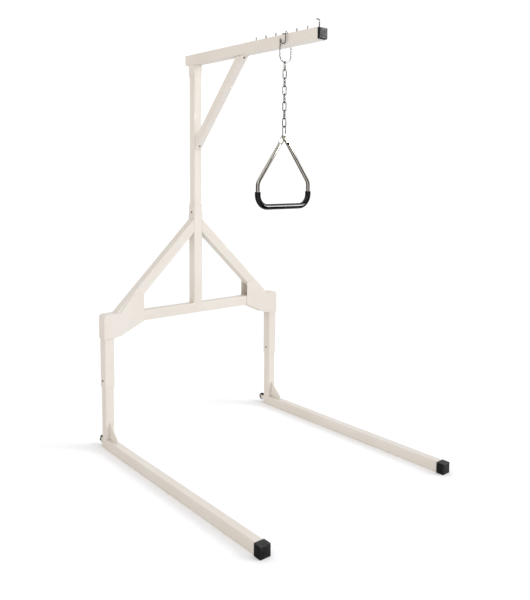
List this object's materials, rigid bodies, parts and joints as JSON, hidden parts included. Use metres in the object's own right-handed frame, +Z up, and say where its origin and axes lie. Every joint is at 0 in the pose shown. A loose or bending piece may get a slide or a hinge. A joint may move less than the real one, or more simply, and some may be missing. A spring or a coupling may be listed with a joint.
{
  "type": "freestanding trapeze",
  "caption": "Freestanding bed trapeze: two long floor legs, a lift-off head frame, a braced mast with a level arm, and a triangular handle hung on a chain.",
  "frame": {"origin": "on the floor, midway between the left and right legs and midway between the front of the rubber boots and the back of the wheels", "axes": "+Z up, -Y along the legs and the arm towards their free ends, +X from the left post to the right post as seen from the free ends"},
  "size_m": [1.1368, 1.324, 2.0246],
  "materials": {
    "powder_coat": "satin cream powder coat",
    "rubber": "matt black rubber",
    "plastic": "moulded charcoal plastic",
    "zinc_steel": "bright zinc plate",
    "chrome": "polished chrome plate",
    "vinyl": "glossy black moulded vinyl"
  },
  "bodies": {
    "stand": {"arm": "powder_coat", "arm_end_plug": "plastic", "arm_rear_cap": "powder_coat", "arm_socket": "powder_coat", "brace": "powder_coat", "centre_post": "powder_coat", "crossbar": "powder_coat", "end_hook": "zinc_steel", "left_corner_gusset": "powder_coat", "left_diagonal": "powder_coat", "left_leg": "powder_coat", "left_leg_boot": "rubber", "left_leg_gusset": "powder_coat", "left_post": "powder_coat", "left_sleeve": "powder_coat", "left_wheel_axle": "zinc_steel", "left_wheel_bracket": "powder_coat", "lower_brace_bolt": "zinc_steel", "lower_brace_plate": "powder_coat", "mast": "powder_coat", "right_corner_gusset": "powder_coat", "right_diagonal": "powder_coat", "right_leg": "powder_coat", "right_leg_boot": "rubber", "right_leg_gusset": "powder_coat", "right_post": "powder_coat", "right_sleeve": "powder_coat", "right_wheel_axle": "zinc_steel", "right_wheel_bracket": "powder_coat", "stop_pin_1": "zinc_steel", "stop_pin_2": "zinc_steel", "stop_pin_3": "zinc_steel", "stop_pin_4": "zinc_steel", "stop_pin_5": "zinc_steel", "stop_pin_6": "zinc_steel", "upper_brace_bolt": "zinc_steel", "upper_brace_plate": "powder_coat"},
    "left_wheel": {"left_wheel": "rubber"},
    "right_wheel": {"right_wheel": "rubber"},
    "left_post_button_outer": {"left_post_button_outer": "zinc_steel"},
    "left_post_button_inner": {"left_post_button_inner": "zinc_steel"},
    "right_post_button_outer": {"right_post_button_outer": "zinc_steel"},
    "right_post_button_inner": {"right_post_button_inner": "zinc_steel"},
    "mast_button_left": {"mast_button_left": "zinc_steel"},
    "mast_button_right": {"mast_button_right": "zinc_steel"},
    "bail": {"hanger_bail": "zinc_steel"},
    "chain_link_1": {"chain_link_1": "zinc_steel"},
    "chain_link_2": {"chain_link_2": "zinc_steel"},
    "chain_link_3": {"chain_link_3": "zinc_steel"},
    "chain_link_4": {"chain_link_4": "zinc_steel"},
    "chain_link_5": {"chain_link_5": "zinc_steel"},
    "chain_link_6": {"chain_link_6": "zinc_steel"},
    "chain_link_7": {"chain_link_7": "zinc_steel"},
    "chain_link_8": {"chain_link_8": "zinc_steel"},
    "connecting_link": {"connecting_link": "zinc_steel"},
    "trapeze_handle": {"handle": "chrome", "handle_grip": "vinyl"}
  },
  "joints": [
    {"name": "left_wheel_spin", "type": "hinge", "parent": "stand", "child": "left_wheel", "pos_m": [-0.52407, 0.64299, 0.03], "axis": [0.9999, -0.015, 0], "continuous": true},
    {"name": "right_wheel_spin", "type": "hinge", "parent": "stand", "child": "right_wheel", "pos_m": [0.52407, 0.64299, 0.03], "axis": [0.9999, 0.015, 0], "continuous": true},
    {"name": "left_post_button_outer_press", "type": "slide", "parent": "stand", "child": "left_post_button_outer", "axis": [0.9999, -0.015, 0], "range_m": [0, 0.0072], "stiffness_N_per_m": 1500, "springref_m": -0.003},
    {"name": "left_post_button_inner_press", "type": "slide", "parent": "stand", "child": "left_post_button_inner", "axis": [-0.9999, 0.015, 0], "range_m": [0, 0.0072], "stiffness_N_per_m": 1500, "springref_m": -0.003},
    {"name": "right_post_button_outer_press", "type": "slide", "parent": "stand", "child": "right_post_button_outer", "axis": [-0.9999, -0.015, 0], "range_m": [0, 0.0072], "stiffness_N_per_m": 1500, "springref_m": -0.003},
    {"name": "right_post_button_inner_press", "type": "slide", "parent": "stand", "child": "right_post_button_inner", "axis": [0.9999, 0.015, 0], "range_m": [0, 0.0072], "stiffness_N_per_m": 1500, "springref_m": -0.003},
    {"name": "mast_button_left_press", "type": "slide", "parent": "stand", "child": "mast_button_left", "axis": [1, 0, 0], "range_m": [0, 0.0072], "stiffness_N_per_m": 1500, "springref_m": -0.003},
    {"name": "mast_button_right_press", "type": "slide", "parent": "stand", "child": "mast_button_right", "axis": [-1, 0, 0], "range_m": [0, 0.0072], "stiffness_N_per_m": 1500, "springref_m": -0.003},
    {"name": "bail_swing", "type": "hinge", "parent": "stand", "child": "bail", "pos_m": [0, -0.126, 1.9886], "axis": [1, 0, 0], "range_deg": [-45, 0]},
    {"name": "chain_link_1_swing", "type": "hinge", "parent": "bail", "child": "chain_link_1", "pos_m": [0, -0.126, 1.8681], "axis": [1, 0, 0], "range_deg": [-45, 45]},
    {"name": "chain_link_2_swing", "type": "hinge", "parent": "chain_link_1", "child": "chain_link_2", "pos_m": [0, -0.126, 1.83245], "axis": [0.3746, 0.9272, 0], "range_deg": [-45, 45]},
    {"name": "chain_link_3_swing", "type": "hinge", "parent": "chain_link_2", "child": "chain_link_3", "pos_m": [0, -0.126, 1.79665], "axis": [-0.9272, 0.3746, 0], "range_deg": [-45, 45]},
    {"name": "chain_link_4_swing", "type": "hinge", "parent": "chain_link_3", "child": "chain_link_4", "pos_m": [0, -0.126, 1.76085], "axis": [-0.3746, -0.9272, 0], "range_deg": [-45, 45]},
    {"name": "chain_link_5_swing", "type": "hinge", "parent": "chain_link_4", "child": "chain_link_5", "pos_m": [0, -0.126, 1.72505], "axis": [0.9272, -0.3746, 0], "range_deg": [-45, 45]},
    {"name": "chain_link_6_swing", "type": "hinge", "parent": "chain_link_5", "child": "chain_link_6", "pos_m": [0, -0.126, 1.68925], "axis": [0.3746, 0.9272, 0], "range_deg": [-45, 45]},
    {"name": "chain_link_7_swing", "type": "hinge", "parent": "chain_link_6", "child": "chain_link_7", "pos_m": [0, -0.126, 1.65345], "axis": [-0.9272, 0.3746, 0], "range_deg": [-45, 45]},
    {"name": "chain_link_8_swing", "type": "hinge", "parent": "chain_link_7", "child": "chain_link_8", "pos_m": [0, -0.126, 1.61765], "axis": [-0.3746, -0.9272, 0], "range_deg": [-45, 45]},
    {"name": "connecting_link_swing", "type": "hinge", "parent": "chain_link_8", "child": "connecting_link", "pos_m": [0, -0.126, 1.58185], "axis": [0.9272, -0.3746, 0], "range_deg": [-45, 45]},
    {"name": "handle_swing", "type": "hinge", "parent": "connecting_link", "child": "trapeze_handle", "pos_m": [0, -0.126, 1.53665], "axis": [0, 1, 0], "range_deg": [-45, 45]}
  ]
}
